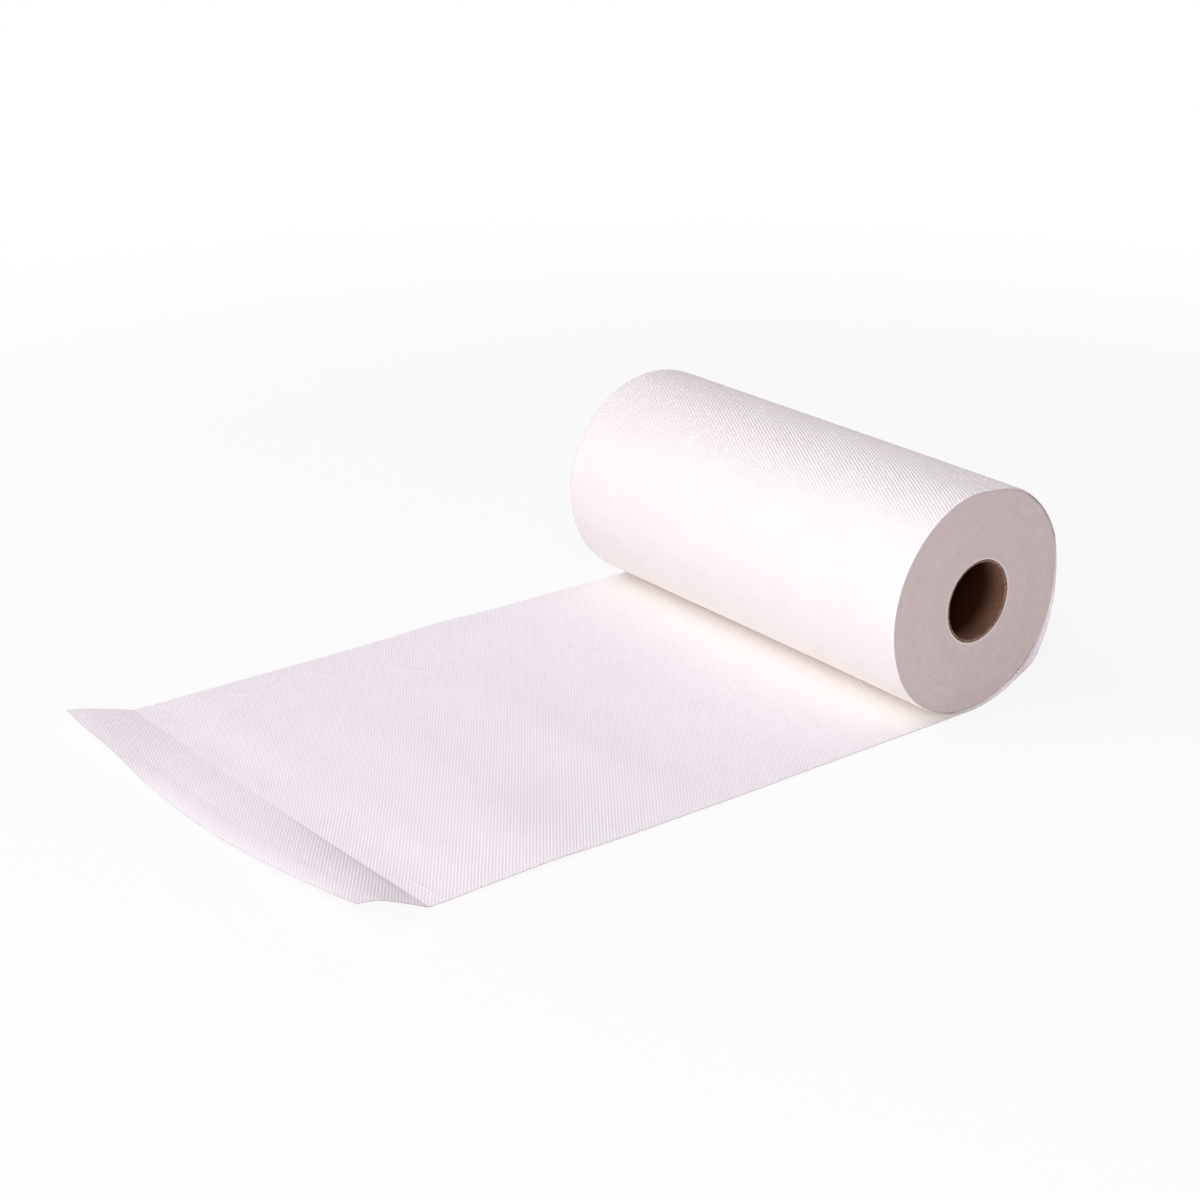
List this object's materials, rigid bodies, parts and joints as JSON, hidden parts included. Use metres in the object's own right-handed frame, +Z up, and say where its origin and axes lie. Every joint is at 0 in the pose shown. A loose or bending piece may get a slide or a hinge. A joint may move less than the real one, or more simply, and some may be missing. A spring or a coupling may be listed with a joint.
{
  "type": "exam table paper roll",
  "caption": "Roll of white embossed exam table paper on a brown card core, with its loose end unrolled flat and creased near the cut edge.",
  "frame": {"origin": "on the floor, straight below the middle of the core's axis", "axes": "+Z up, +Y along the core's axis, -X the way the loose tail runs"},
  "size_m": [0.4269, 0.25, 0.117],
  "materials": {
    "paper": "matt, soft two-ply paper with a fine embossed dot pattern",
    "core_card": "matt brown spiral-wound card"
  },
  "bodies": {
    "root": {"paper_roll": "paper", "core_tube": "core_card"}
  },
  "joints": []
}
